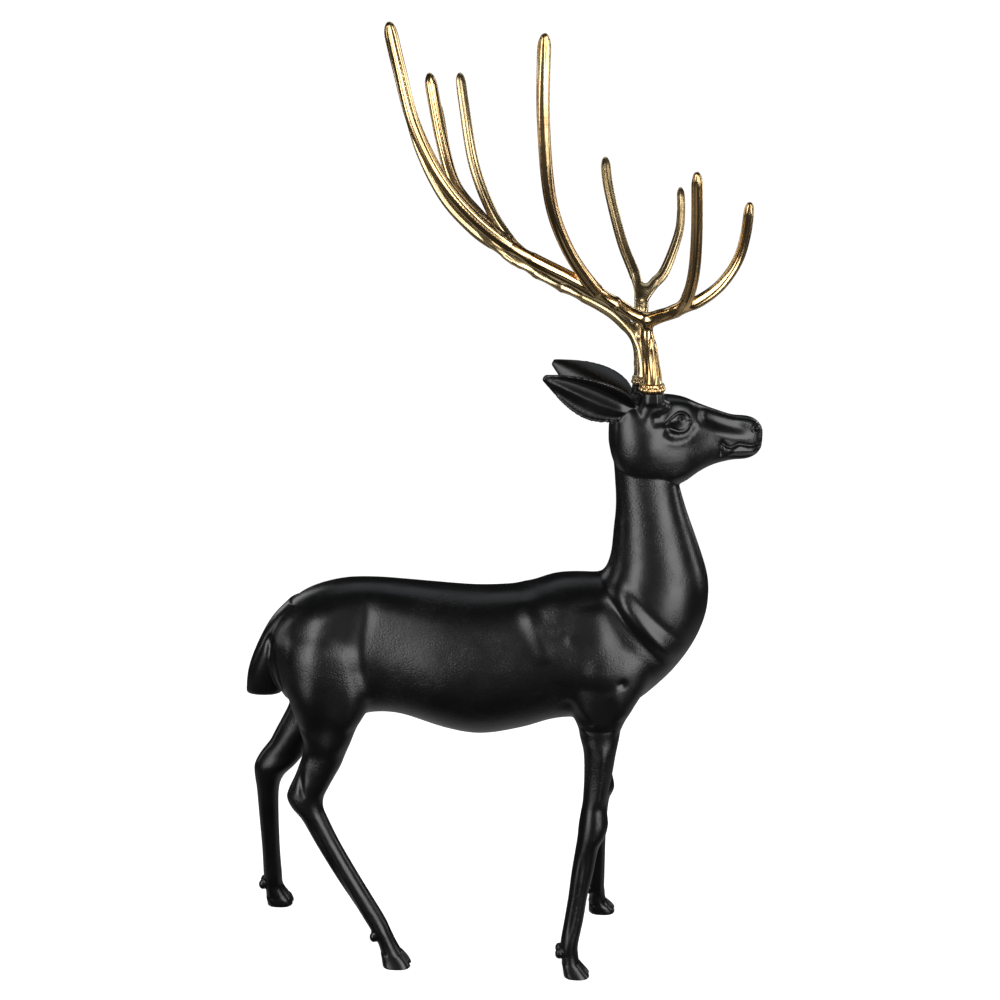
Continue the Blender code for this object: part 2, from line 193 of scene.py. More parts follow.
def rod(path: Array, radius: Array, section: Array) -> Array:
    """A section carried along a path.

    Across each point of the path stand two directions square to its tangent: one lies nearest to the path's
    own plane, and the other is the cross product of the two. The point at angle a is the path's point plus
    the radius there times the section's reach at a, along the cosine and the sine of a. A straight path has
    no plane of its own, so it is given one.

    Args:
        path: Points of the path, one per row.
        radius: Radius at each point.
        section: Reach of the section, shape (rows, sides), about 1.

    Returns:
        Points of shape (rows, sides, 3).
    """
    tangent = np.gradient(path, axis=0)
    tangent /= np.linalg.norm(tangent, axis=1, keepdims=True)
    chord = path[-1] - path[0]
    bow = path[len(path) // 2] - (path[0] + path[-1]) / 2
    out = np.cross(chord, bow)
    hardly = 1e-6
    if np.linalg.norm(out) < hardly * np.linalg.norm(chord) ** 2:
        out = np.cross(chord, (0.0, 1.0, 0.3))
    first = np.cross(out, tangent)
    first /= np.linalg.norm(first, axis=1, keepdims=True)
    second = np.cross(tangent, first)
    angle = 2 * np.pi * np.arange(section.shape[1]) / section.shape[1]
    reach = (radius[:, None] * section)[..., None]
    ways = first[:, None] * np.cos(angle)[:, None] + second[:, None] * np.sin(angle)[:, None]
    return path[:, None] + reach * ways


@dataclass
class Shells:
    """Closed shells gathered into one mesh, in thousandths of the height."""

    points: list[Array] = field(default_factory=list)
    quads: list[Array] = field(default_factory=list)
    fans: list[Array] = field(default_factory=list)
    count: int = 0

    def add(self, grid: Array) -> None:
        """Adds a grid, closed round its second parameter, with a fan of triangles over each end.

        Args:
            grid: Points of shape (rows, sides, 3).
        """
        rows, sides = grid.shape[:2]
        ids = self.count + np.arange(rows * sides).reshape(rows, sides)
        beside = np.roll(ids, -1, axis=1)
        low, high = self.count + rows * sides, self.count + rows * sides + 1
        self.quads.append(np.stack((ids[:-1], beside[:-1], beside[1:], ids[1:]), axis=-1).reshape(-1, 4))
        self.fans.append(np.stack((beside[0], ids[0], np.full(sides, low)), axis=-1))
        self.fans.append(np.stack((ids[-1], beside[-1], np.full(sides, high)), axis=-1))
        self.points += [grid.reshape(-1, 3), grid[0].mean(axis=0)[None], grid[-1].mean(axis=0)[None]]
        self.count = high + 1

    def add_mesh(self, mesh: Mesh) -> None:
        """Adds what a mesh of quads holds.

        Args:
            mesh: The mesh, in metres, which is removed.
        """
        points = Clay.read(mesh)
        loops = np.empty(len(mesh.loops), int)
        mesh.loops.foreach_get("vertex_index", loops)
        self.quads.append(self.count + loops.reshape(-1, 4))
        self.points.append(points)
        self.count += len(points)
        bpy.data.meshes.remove(mesh)

    def mesh(self, name: str) -> Mesh:
        """Puts the shells into a mesh.

        Args:
            name: Its name.

        Returns:
            The mesh, in metres.
        """
        made = bpy.data.meshes.new(name)
        faces = np.concatenate(self.quads).tolist() + [f for fan in self.fans for f in fan.tolist()]
        made.from_pydata((np.concatenate(self.points) - ORIGIN) * UNIT, [], faces)
        return made


@dataclass(frozen=True)
class Mark:
    """One mark of the modelling tool: a ridge or a groove along a path, or a boss or a pit at one point.

    A point at distance d from the path moves along its normal by height times e to the power of
    minus (d / width) squared, faded out over the ends of the path and where the surface turns away.
    A path of x and z alone is a line on the deer's sides, at whatever y the skin has there.
    """

    path: tuple[Row, ...]
    width: float
    height: float
    side: Side = Side.BOTH
    fade: float = 0.25

    def lift(self, points: Array, normals: Array) -> Array:
        """How far each point moves along its normal.

        Args:
            points: Points in thousandths.
            normals: Their unit normals.

        Returns:
            One distance per point.
        """
        knots = np.asarray(self.path, float)
        if knots.shape[1] == 2:
            knots = np.insert(knots, 1, 0.0, axis=1)
            counts = np.array((1.0, 0.0, 1.0))
        else:
            counts = np.ones(3)
        reach = 3 * self.width  # beyond it the bell is as good as flat
        low, high = knots.min(axis=0) - reach, knots.max(axis=0) + reach
        inside = np.all(((points > low) & (points < high)) | (counts == 0), axis=1)
        if self.side is Side.BOTH:
            inside &= points[:, 1] * normals[:, 1] > 0
        elif self.side is not Side.ALL_ROUND:
            inside &= (points[:, 1] * self.side.value > 0) & (normals[:, 1] * self.side.value > 0)
        near, ways = points[inside], normals[inside]
        if len(knots) > 2:
            knots = through(knots, 4)
        best = np.full(len(near), np.inf)
        share = np.zeros(len(near))
        spans = max(1, len(knots) - 1)
        for k in range(spans):
            start, end = knots[k] * counts, knots[min(k + 1, len(knots) - 1)] * counts
            way = end - start
            t = np.clip((near * counts - start) @ way / max(way @ way, 1e-9), 0, 1)
            gap = np.linalg.norm(near * counts - start - t[:, None] * way, axis=1)
            closer = gap < best
            best = np.where(closer, gap, best)
            share = np.where(closer, (k + t) / spans, share)
        lift = self.height * np.exp(-(best / self.width) ** 2)
        if len(knots) > 1 and self.fade > 0:
            end = np.clip(np.minimum(share, 1 - share) / self.fade, 0, 1)
            lift *= end * end * (3 - 2 * end)
        if self.side is not Side.ALL_ROUND:
            sideways = 1.8 * np.abs(ways[:, 1])
            lift *= np.clip(sideways, 0, 1)
        found = np.zeros(len(points))
        found[inside] = lift
        return found


class Clay:
    """Meshes worked like clay: shells made one skin, eased, marked and brought down to a number of faces."""

    @staticmethod
    def vectors(mesh: Mesh, what: str) -> Array:
        """Reads three numbers for each point of a mesh.

        Args:
            mesh: The mesh.
            what: "co" for places in metres, "normal" for unit normals.

        Returns:
            One row per point.
        """
        flat = np.empty(3 * len(mesh.vertices), np.float32)
        mesh.vertices.foreach_get(what, flat)
        return flat.reshape(-1, 3).astype(float)

    @classmethod
    def read(cls, mesh: Mesh) -> Array:
        """The mesh's points, in thousandths."""
        return cls.vectors(mesh, "co") / UNIT + ORIGIN

    @classmethod
    def normals(cls, mesh: Mesh) -> Array:
        """The mesh's unit normals at its points."""
        return cls.vectors(mesh, "normal")

    @staticmethod
    def write(mesh: Mesh, points: Array) -> None:
        """Puts points, in thousandths, back into the mesh."""
        mesh.vertices.foreach_set("co", ((points - ORIGIN) * UNIT).astype(np.float32).ravel())
        mesh.update()

    @staticmethod
    def finished(mesh: Mesh, modifiers: Iterable[tuple[str, dict[str, Any]]]) -> Mesh:
        """The mesh with modifiers in it.

        Args:
            mesh: The mesh to start from, which is removed.
            modifiers: The type of each modifier and its settings, in order.

        Returns:
            A new mesh of the same name.
        """
        name = mesh.name
        item = stood(name, mesh)
        for kind, settings in modifiers:
            made = item.modifiers.new(kind, kind)
            for key, value in settings.items():
                setattr(made, key, value)
        bpy.context.view_layer.update()
        graph = bpy.context.evaluated_depsgraph_get()
        result = bpy.data.meshes.new_from_object(item.evaluated_get(graph))
        bpy.data.objects.remove(item, do_unlink=True)
        bpy.data.meshes.remove(mesh)
        result.name = name
        return result

    @classmethod
    def fused(cls, shells: Shells, name: str, grain: float, rounds: int,
              exact: bool = False) -> Mesh:
        """Makes one skin of quads of overlapping shells and eases their joins.

        Args:
            shells: The shells.
            name: Name of the mesh.
            grain: Size of a quad, in thousandths.
            rounds: Rounds of easing.
            exact: Whether the skin is then laid back on the nearest point of the shells.

        Returns:
            The skin, in metres.
        """
        steps = [
            ("REMESH", {"mode": "VOXEL", "voxel_size": grain * UNIT, "use_smooth_shade": True}),
            ("SMOOTH", {"factor": 0.5, "iterations": rounds}),
        ]
        if not exact:
            return cls.finished(shells.mesh(name), steps)
        form = stood("form", shells.mesh("form"))
        steps.append(("SHRINKWRAP", {"target": form, "wrap_method": "NEAREST_SURFACEPOINT"}))
        skin = cls.finished(shells.mesh(name), steps)
        spent = form.data
        bpy.data.objects.remove(form, do_unlink=True)
        bpy.data.meshes.remove(spent)
        return skin

    @classmethod
    def mark(cls, mesh: Mesh, marks: Iterable[Mark], turn: float = 0.0,
             clear: Array | None = None) -> None:
        """Makes marks in a skin, all from the surface as it stands.

        Args:
            mesh: The skin.
            marks: The marks, which stand in the frame of the straight head where turn is given.
            turn: The head's turn, in radians.
            clear: Shares from 0 to 1 that hold points back, one per point.
        """
        points, normals = cls.read(mesh), cls.normals(mesh)
        straight = turned(points, -turn) if turn else points
        ways = turned_way(normals, -turn) if turn else normals
        lift = sum((one.lift(straight, ways) for one in marks), np.zeros(len(points)))
        if clear is not None:
            lift = lift * clear
        cls.write(mesh, points + normals * lift[:, None])

    @classmethod
    def eased(cls, mesh: Mesh, spots: Iterable[tuple[Point, float]], rounds: int) -> None:
        """Rubs a skin smooth round some places.

        A point's share is 1 inside half the reach of a place and falls to 0 at the reach.

        Args:
            mesh: The skin, changed in place.
            spots: The places and how far the rubbing reaches round each.
            rounds: How often.
        """
        points = cls.read(mesh)
        share = np.zeros(len(points))
        for middle, reach in spots:
            away = np.linalg.norm(points - middle, axis=1)
            share = np.maximum(share, np.clip(2 * (1 - away / reach), 0, 1))
        cls.rubbed(mesh, share, rounds)

    @classmethod
    def rubbed(cls, mesh: Mesh, share: Array, rounds: int) -> None:
        """Rubs a skin smooth: in each round a point goes half way, times its share, to its neighbours' mean.

        Args:
            mesh: The skin, changed in place.
            share: From 0 to 1, one per point.
            rounds: How often.
        """
        points = cls.read(mesh)
        edges = np.empty(2 * len(mesh.edges), np.int32)
        mesh.edges.foreach_get("vertices", edges)
        edges = edges.reshape(-1, 2)
        edges = edges[(share[edges] > 0).any(axis=1)]
        here, there = np.concatenate((edges, edges[:, ::-1])).T
        count = np.maximum(np.bincount(here, minlength=len(points)), 1)[:, None]
        for _ in range(rounds):
            sums = [np.bincount(here, points[there, k], len(points)) for k in range(3)]
            points += 0.5 * share[:, None] * (np.stack(sums, axis=1) / count - points)
        cls.write(mesh, points)

    @classmethod
    def press_flat(cls, mesh: Mesh, level: float, reach: float) -> None:
        """Brings points to a level: those below it, and those within reach of it that face down.

        Args:
            mesh: The skin, changed in place.
            level: The level, in thousandths.
            reach: How far the down-facing points may lie from it.
        """
        points, normals = cls.read(mesh), cls.normals(mesh)
        facing_down = normals[:, 2] < -0.75
        under = (np.abs(points[:, 2] - level) < reach) & facing_down
        points[:, 2] = np.where(under | (points[:, 2] < level), level, points[:, 2])
        cls.write(mesh, points)

    @classmethod
    def refined(cls, mesh: Mesh, chosen: Array) -> None:
        """Splits every face whose corners are all chosen into four.

        Args:
            mesh: The skin, changed in place.
            chosen: One truth value per point.
        """
        shape = bmesh.new()
        shape.from_mesh(mesh)
        picked = set(np.flatnonzero(chosen).tolist())
        edges = [e for e in shape.edges if e.verts[0].index in picked and e.verts[1].index in picked]
        bmesh.ops.subdivide_edges(shape, edges=edges, cuts=1, use_grid_fill=True, smooth=0.0)
        shape.to_mesh(mesh)
        shape.free()

    @classmethod
    def thinned(cls, mesh: Mesh, triangles: int) -> Mesh:
        """Brings a skin down to about a number of triangles, keeping its sharp forms.

        Args:
            mesh: The skin, which is removed.
            triangles: How many.

        Returns:
            The thinner skin.
        """
        present = len(mesh.loops) - 2 * len(mesh.polygons)
        return cls.finished(mesh, (
            ("DECIMATE", {"ratio": min(1.0, triangles / present), "use_collapse_triangulate": True}),
        ))


class Wire:
    """A socket of a material's node, with Python's operators on it."""

    def __init__(self, shop: "Shop", socket: Any) -> None:
        """Wraps a node's output socket."""
        self.shop = shop
        self.socket = socket

    def _maths(self, how: str, first: Any, second: Any) -> "Wire":
        """The Math node of this operation on two values."""
        return self.shop.node("Math", {"operation": how}, {0: first, 1: second})

    def __add__(self, other: Any) -> "Wire":
        """self + other."""
        return self._maths("ADD", self, other)

    __radd__ = __add__

    def __sub__(self, other: Any) -> "Wire":
        """self - other."""
        return self._maths("SUBTRACT", self, other)

    def __rsub__(self, other: Any) -> "Wire":
        """other - self."""
        return self._maths("SUBTRACT", other, self)

    def __mul__(self, other: Any) -> "Wire":
        """self * other."""
        return self._maths("MULTIPLY", self, other)

    __rmul__ = __mul__


class Shop:
    """The place where one material's or the world's nodes are made."""

    def __init__(self, owner: bpy.types.Material | bpy.types.World) -> None:
        """Takes over a node tree and empties it.

        Args:
            owner: What the tree belongs to.
        """
        owner.use_nodes = True
        self.tree = owner.node_tree
        self.tree.nodes.clear()

    def node(self, kind: str, settings: dict[str, Any] | None = None,
             inputs: dict[Any, Any] | None = None, output: Any = 0) -> Wire:
        """Makes a node.

        Args:
            kind: The node's type, without the words that all of them start with.
            settings: Its settings, set before its sockets.
            inputs: Values or wires for its sockets, by name or number.
            output: The socket wanted.

        Returns:
            The wanted output socket, wrapped.
        """
        made = self.tree.nodes.new("ShaderNode" + kind)
        for key, value in (settings or {}).items():
            setattr(made, key, value)
        for key, value in (inputs or {}).items():
            if isinstance(value, Wire):
                self.tree.links.new(value.socket, made.inputs[key])
            else:
                made.inputs[key].default_value = value
        return Wire(self, made.outputs[output])

    def place(self) -> Wire:
        """Object coordinates, in metres."""
        return self.node("TexCoord", output="Object")

    def noise(self, where: Wire, scale: float, detail: float = 2.0, roughness: float = 0.5) -> Wire:
        """Noise from 0 to 1, its scale in waves for each metre."""
        return self.node("TexNoise", {"noise_dimensions": "3D"}, {
            "Vector": where, "Scale": scale, "Detail": detail, "Roughness": roughness}, "Fac")

    def between(self, share: Any, low: Any, high: Any) -> Wire:
        """The value that lies share of the way from low to high, held inside them."""
        return self.node("MapRange", {"clamp": True}, {
            "Value": share, "To Min": low, "To Max": high}, "Result")

    def window(self, value: Wire, low: float, high: float) -> Wire:
        """0 below low, 1 above high, and smooth in between."""
        return self.node("MapRange", {"clamp": True, "interpolation_type": "SMOOTHSTEP"}, {
            "Value": value, "From Min": low, "From Max": high}, "Result")

    def blend(self, share: Any, low: Point, high: Point) -> Wire:
        """The colour that lies share of the way from low to high."""
        return self.node("Mix", {"data_type": "RGBA"}, {0: share, 6: (*low, 1), 7: (*high, 1)}, 2)

    def bump(self, height: Wire, distance: float, strength: float = 1.0, base: Wire | None = None) -> Wire:
        """A bumped normal.

        Args:
            height: The height, in metres once multiplied by distance.
            distance: How far a height of 1 reaches, in metres.
            strength: How much of the bump counts.
            base: The normal that it starts from, if not the surface's own.

        Returns:
            The normal.
        """
        inputs = {"Height": height, "Distance": distance, "Strength": strength}
        if base is not None:
            inputs["Normal"] = base
        return self.node("Bump", {}, inputs, "Normal")

    def finish(self, kind: str, shader: Wire) -> None:
        """Joins the last shader to the owner's output node."""
        end = self.tree.nodes.new("ShaderNode" + kind)
        self.tree.links.new(shader.socket, end.inputs["Surface"])


@dataclass(frozen=True)
class SatinBlack:
    """Satin black paint over a cast skin with a fine grain and a few shallow casting marks.

    What a texture is called holds its scale, in waves for each metre. Depths are in metres.
    """

    name: str = "satin_black"
    colour: Point = (0.0018, 0.0018, 0.0020)
    dusty: Point = (0.0040, 0.0040, 0.0038)
    smooth: float = 0.27
    rough: float = 0.38
    patches: float = 26.0
    grain: float = 620.0
    grain_depth: float = 0.00016
    pores: float = 420.0
    waves: float = 120.0
    wave_depth: float = 0.00022
    dust: float = 60.0

    def make(self) -> bpy.types.Material:
        """Makes the nodes.

        Returns:
            The material.
        """
        made = bpy.data.materials.new(self.name)
        shop = Shop(made)
        here = shop.place()
        patches = shop.window(shop.noise(here, self.patches, 3.0, 0.6), 0.42, 0.66)
        grain = shop.noise(here, self.grain, 3.0, 0.6)
        pores = shop.node("TexVoronoi", {"feature": "F1"}, {
            "Vector": here, "Scale": self.pores, "Randomness": 1.0}, "Distance")
        pits = 1 - shop.window(pores, 0.10, 0.42)
        cast = grain * (0.25 + 0.75 * patches) - 0.55 * pits * patches
        waves = shop.bump(shop.noise(here, self.waves), self.wave_depth, 0.35)
        dust = shop.window(shop.noise(here, self.dust, 4.0, 0.65), 0.5, 0.78)
        shader = shop.node("BsdfPrincipled", {}, {
            "Base Color": shop.blend(dust * 0.6, self.colour, self.dusty),
            "Roughness": shop.between(0.6 * patches + 0.4 * grain, self.smooth, self.rough),
            "Normal": shop.bump(cast, self.grain_depth, base=waves), "IOR": 1.5,
        }, "BSDF")
        shop.finish("OutputMaterial", shader)
        return made


@dataclass(frozen=True)
class PolishedBrass:
    """Polished brass plate: warm gold, a little darker and duller in soft clouds.

    What a texture is called holds its scale, in waves for each metre. Depths are in metres.
    """

    name: str = "polished_brass"
    colour: Point = (0.74, 0.51, 0.25)
    deep: Point = (0.45, 0.27, 0.10)
    smooth: float = 0.15
    rough: float = 0.26
    clouds: float = 34.0
    ripples: float = 85.0
    ripple_depth: float = 0.0005
    fine: float = 240.0
    fine_depth: float = 0.00004

    def make(self) -> bpy.types.Material:
        """Makes the nodes.

        Returns:
            The material.
        """
        made = bpy.data.materials.new(self.name)
        shop = Shop(made)
        here = shop.place()
        tarnish = shop.window(shop.noise(here, self.clouds, 3.0, 0.55), 0.44, 0.72)
        fine = shop.noise(here, self.fine, 3.0, 0.6)
        ripples = shop.bump(shop.noise(here, self.ripples, 2.0, 0.45), self.ripple_depth, 0.35)
        shader = shop.node("BsdfPrincipled", {}, {
            "Base Color": shop.blend(tarnish * 0.7, self.colour, self.deep),
            "Roughness": shop.between(0.5 * tarnish + 0.5 * fine, self.smooth, self.rough),
            "Metallic": 1.0, "Normal": shop.bump(fine, self.fine_depth, 0.5, ripples),
        }, "BSDF")
        shop.finish("OutputMaterial", shader)
        return made


def left_shaded_brass() -> bpy.types.Material:
    """The far antler's plate: the near antler's brass in greyer, a little darker colours, which paint the
    shade of the far side, and less finely polished.
    """
    # Painted shade: the far antler's base colours are greyer, darker copies of the near antler's brass; only
    # the higher roughness is a change of finish.
    return PolishedBrass("shaded_satin_brass", (0.62, 0.47, 0.26), (0.40, 0.28, 0.13), 0.22, 0.36).make()


@dataclass
class Piece:
    """Something that ends as one object in the scene."""

    name: str
    stands_for: str
    slot: str

    def place(self, mesh: Mesh, finish: bpy.types.Material) -> bpy.types.Object:
        """Makes the object, gives it its finish and ties it to the frame.

        Args:
            mesh: The finished mesh, in metres.
            finish: Its material.

        Returns:
            The object.
        """
        item = stood(self.name, mesh)
        mesh.materials.clear()
        mesh.materials.append(finish)
        mesh.polygons.foreach_set("use_smooth", np.ones(len(mesh.polygons), bool))
        mesh.polygons.foreach_set("material_index", np.zeros(len(mesh.polygons), np.int32))
        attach(item, "root")
        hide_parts(self.stands_for)
        LOG.info("%s: %d faces", self.name, len(mesh.polygons))
        return item


@dataclass
class Ear:
    """One cupped ear: a leaf, its upper half hollow, with a fold down its inside."""

    base: Point
    tip: Point
    opens: Point
    half_width: float
    upper: int
    wall: float = 6.57
    hollow: float = 3.8
    fold: float = 3.0
    stations: int = 60
    across: int = 41

    def skin(self) -> Array:
        """The leaf's skin, as a function of the share t from base to tip and of v across it, -1 to 1.

        The middle runs straight from base to tip. The half width is the full one times
        0.36 (1 - t) + 0.83 sin(pi t^0.85) + 0.16 t, and the cup rises with v squared, more on the upper
        half. On the open side the fold stands up as a bell, narrow above and broad below, from the middle of
        the tip to 0.22 under the middle of the base. Bells hollow the half over it, and less the half under.

        Returns:
            Points of shape (rows, sides, 3).
        """
        start, end = np.asarray(self.base, float), np.asarray(self.tip, float)
        way = (end - start) / np.linalg.norm(end - start)
        side = np.cross(way, self.opens)
        side /= np.linalg.norm(side)
        out = np.cross(side, way)
        t = np.linspace(0, 1, self.stations + 1)[:, None]
        v = np.linspace(-1, 1, self.across)[None]
        width = self.half_width * (0.36 * (1 - t) + 0.83 * np.sin(np.pi * t ** 0.85) + 0.16 * t)
        up = v * self.upper
        cup = np.where(up > 0, 0.60, 0.32) * width * np.sin(np.pi * np.minimum(1, 0.25 + 0.7 * t)) * v ** 2
        wall = self.wall * (1 - 0.25 * t) * (1 - 0.25 * v ** 2) / 2
        open_side = np.sin(np.pi * np.clip(t * 1.02, 0, 1)) ** 0.6
        up = up + 0.22 * (1 - t)
        fold = np.exp(-((up + 0.04) / np.where(up > -0.04, 0.17, 0.50)) ** 2)
        hollow = np.exp(-((up - 0.55) / np.where(up > 0.55, 0.24, 0.32)) ** 2)
        hollow = hollow + 0.55 * (1 - t) * np.exp(-((up + 0.60) / np.where(up > -0.60, 0.34, 0.16)) ** 2)
        relief = open_side * (self.fold * fold - self.hollow * hollow)
        flat = start + way * np.linalg.norm(end - start) * t[..., None] + side * (width * v)[..., None]
        back = flat + out * (cup - wall)[..., None]
        front = flat + out * (cup + wall + relief)[..., None]
        return np.concatenate((back, front[:, ::-1]), axis=1)


@dataclass
class StagBody(Piece):
    """The black casting: trunk, neck, head, ears, tail, legs and hooves in one skin."""

    name: str = "stag_body"
    stands_for: str = "deer_body"
    slot: str = "black_coat"
    grain: float = 1.25
    trunk_grain: float = 2.5
    trunk_rounds: int = 50
    rounds: int = 6
    triangles: int = 190000
    stub_radius: float = 12.57
    fine_level: float = 540
    head_rear: float = 108

    # Slices along +X: x, lowest z, highest z, middle y, half width
    trunk: tuple[Row, ...] = (
        (-254, 340, 367, 0, 12), (-246, 317, 391, 0, 27), (-232, 300, 408, 0, 40), (-207, 287, 426, 0, 50),
        (-171, 282, 437, 0, 53), (-136, 287, 439, 0, 50), (-106, 286, 437, 0, 53), (-60, 272, 433, 0, 60),
        (-20, 266, 431, 0, 62), (25, 274, 435, 0, 59), (60, 285, 447, 0, 56), (96, 288, 449, 0, 53),
        (131, 292, 446, 0, 49), (166, 327, 444, 0, 44), (191, 357, 442, 0, 36), (210, 387, 436, 0, 22),
    )
    # Slices along +Z: z, rear x, front x, middle y, half width
    neck: tuple[Row, ...] = (
        (315, 96, 159, 0, 30), (345, 91, 187, 0, 42), (375, 89, 207, 0, 48), (405, 89, 219, 0, 50),
        (431, 93, 222, 0, 49), (451, 110, 220, 0, 46), (471, 117, 214, 0, 42), (496, 119, 205, 0, 37),
        (526, 121, 194, 0, 31), (557, 119, 185, 0, 26), (587, 116, 179, 0, 23), (612, 117, 169, 0, 20),
        (629, 127, 159, 0, 15),
    )
    # Slices of the straight head along +X
    head: tuple[Row, ...] = (
        (113, 591, 619, 0, 10), (119, 571, 631, 0, 20), (133, 555, 638, 0, 28), (151, 547, 642, 0, 31),
        (171, 546, 643, 0, 30), (189, 551, 640, 0, 27), (206, 562, 633, 0, 21), (222, 569, 627, 0, 17),
        (240, 573, 621, 0, 15), (256, 574, 619, 0, 14), (266, 578, 615, 0, 12), (272, 585, 608, 0, 7),
    )
    tail: tuple[Row, ...] = (
        (304, -280, -242, 0, 11), (311, -280, -239, 0, 14), (335, -276, -235, 0, 19),
        (365, -264, -224, 0, 23), (393, -248, -207, 0, 25), (414, -228, -191, 0, 22),
    )
    # Legs, with slices as the neck's, from the hip or shoulder down to the sole
    near_hind: tuple[Row, ...] = (
        (410, -210, -155, -14, 12), (380, -228, -141, -31, 25), (345, -230, -137, -35, 25),
        (315, -226, -139, -37, 23), (295, -221, -144, -38, 21), (278, -216, -154, -38, 19),
        (264, -212, -160, -38, 17), (250, -213, -166, -37, 15), (235, -218, -172, -37, 14),
        (222, -223, -179, -37, 13), (207, -230, -187, -37, 13), (196, -233, -192, -37, 13),
        (184, -228, -193, -38, 12), (170, -217, -188, -39, 11), (140, -201, -174, -42, 10),
        (98, -177, -151, -46, 10), (56, -151, -127, -50, 10), (41, -142, -120, -52, 10),
        (27, -135, -114, -53, 10), (14, -131, -107, -54, 11), (6, -130, -100, -55, 12),
        (0, -129, -97, -56, 13),
    )
    far_hind: tuple[Row, ...] = (
        (410, -216, -160, 14, 12), (380, -234, -146, 31, 25), (345, -238, -149, 34, 25),
        (315, -238, -161, 35, 23), (295, -238, -173, 36, 20), (272, -243, -185, 36, 18),
        (257, -250, -196, 36, 16), (242, -258, -208, 36, 15), (227, -266, -219, 36, 14),
        (211, -278, -227, 36, 13), (197, -285, -238, 36, 13), (182, -286, -252, 38, 12),
        (164, -285, -259, 40, 11), (129, -285, -262, 44, 10), (78, -285, -264, 50, 10),
        (43, -286, -264, 54, 10), (28, -286, -264, 56, 10), (18, -285, -260, 57, 11),
        (10, -285, -255, 58, 12), (3, -284, -253, 59, 13), (0, -284, -253, 60, 13),
    )
    near_fore: tuple[Row, ...] = (
        (410, 77, 147, -18, 14), (375, 71, 161, -31, 23), (340, 73, 159, -34, 23), (313, 77, 146, -35, 21),
        (295, 82, 136, -36, 19), (278, 87, 131, -37, 17), (259, 92, 127, -39, 15), (231, 93, 123, -40, 13),
        (203, 92, 118, -42, 12), (189, 90, 119, -43, 13), (175, 88, 120, -44, 14), (162, 87, 117, -46, 13),
        (147, 85, 110, -47, 12), (119, 81, 105, -50, 11), (91, 78, 99, -53, 10), (63, 74, 95, -56, 10),
        (36, 70, 90, -60, 10), (24, 71, 90, -61, 10), (13, 72, 92, -62, 11), (6, 73, 98, -63, 12),
        (0, 74, 103, -64, 13),
    )
    far_fore: tuple[Row, ...] = (
        (410, 87, 157, 18, 14), (375, 81, 167, 31, 23), (340, 83, 163, 34, 23), (313, 87, 151, 35, 21),
        (295, 91, 142, 36, 19), (278, 95, 137, 36, 17), (259, 98, 132, 37, 15), (231, 99, 128, 38, 13),
        (203, 99, 125, 40, 12), (189, 99, 127, 41, 13), (175, 99, 129, 42, 14), (160, 100, 124, 44, 12),
        (139, 101, 122, 46, 11), (105, 102, 121, 51, 10), (54, 102, 121, 57, 10), (35, 101, 121, 59, 10),
        (26, 103, 122, 61, 10), (17, 103, 123, 62, 11), (10, 103, 128, 63, 12), (3, 103, 134, 64, 13),
        (0, 103, 134, 64, 13),
    )
    # The middle between the two eggs of each dewclaw, how far each stands from it, and their radii
    dewclaws: tuple[Point, ...] = ((-138, -53, 35), (-287, 56, 29), (69, -60, 26), (103, 60, 33))
    claw_spread: float = 5.5
    claw_radii: Point = (5, 4, 6.5)
    # Toe's x, heel's x and middle y of each hoof
    hooves: tuple[Point, ...] = ((-97, -129, -56), (-253, -284, 60), (103, 74, -64), (134, 103, 64))
    stubs: tuple[tuple[float, float], ...] = ((154, -18), (148, 18))
    # Up a stub: how far back, share of its y, depth under its top, share of its radius
    stub_rows: tuple[Row, ...] = ((4, 0.4, 38, 1.3), (1, 0.8, 20, 1.2), (0, 1, 9, 1.02), (0, 1, 0, 1))
    mound_radii: Point = (19, 15, 11)
    eye: Point = (181, 21.8, 620.5)
    eye_radius: float = 5.2
    nostril: tuple[float, float] = (264, 608)
    # Joins that are rubbed smooth: place and reach. Those of the trunk are on both sides
    trunk_joins: tuple[Row, ...] = (
        (-204, 50, 412, 24), (-150, 50, 405, 24), (-140, 52, 370, 22), (-138, 50, 335, 22),
    )
    limb_joins: tuple[Row, ...] = (
        (-185, -38, 284, 28), (-212, 36, 284, 28), (110, -37, 284, 22), (116, 36, 284, 22),
    )
    join_rounds: int = 120
    # How much a shell's first slices are drawn in, one by one, so that its end hides inside another
    thigh_insets: Row = (0, 0, 0, 0, 0, 1.5, 5)
    nape_insets: Row = (4, 2.6, 1.6, 0.8)
    leg_insets: Row = (6, 3, 0.5)

    def ears(self) -> tuple[Ear, Ear]:
        """The right and the left ear."""
        return (
            Ear((134, -15, 631), (46, -62, 673), (0.30, -0.82, -0.30), 20, 1),
            Ear((136, 18, 631), (53, 60, 665), (0.45, 0.72, -0.50), 21, -1),
        )

    def legs(self) -> tuple[tuple[Row, ...], ...]:
        """The four legs' slices."""
        return self.near_hind, self.far_hind, self.near_fore, self.far_fore

    @staticmethod
    def drawn_in(slices: Sequence[Row], insets: Sequence[float]) -> Array:
        """Makes the first of some slices smaller.

        Args:
            slices: The slices.
            insets: How much for each, from the first on.

        Returns:
            All the slices.
        """
        found = np.array(slices, float)
        found[:len(insets), 1:] += np.asarray(insets)[:, None] * np.array((1, -1, 0, -1))
        return found

    @staticmethod
    def set_down(slices: Array, depth: float = 4.0) -> Array:
        """The slices of a leg, its sole carried below the ground, so that pressing it flat leaves an edge."""
        return np.vstack((slices, slices[-1] - np.array((depth, 0, 0, 0, 0))))

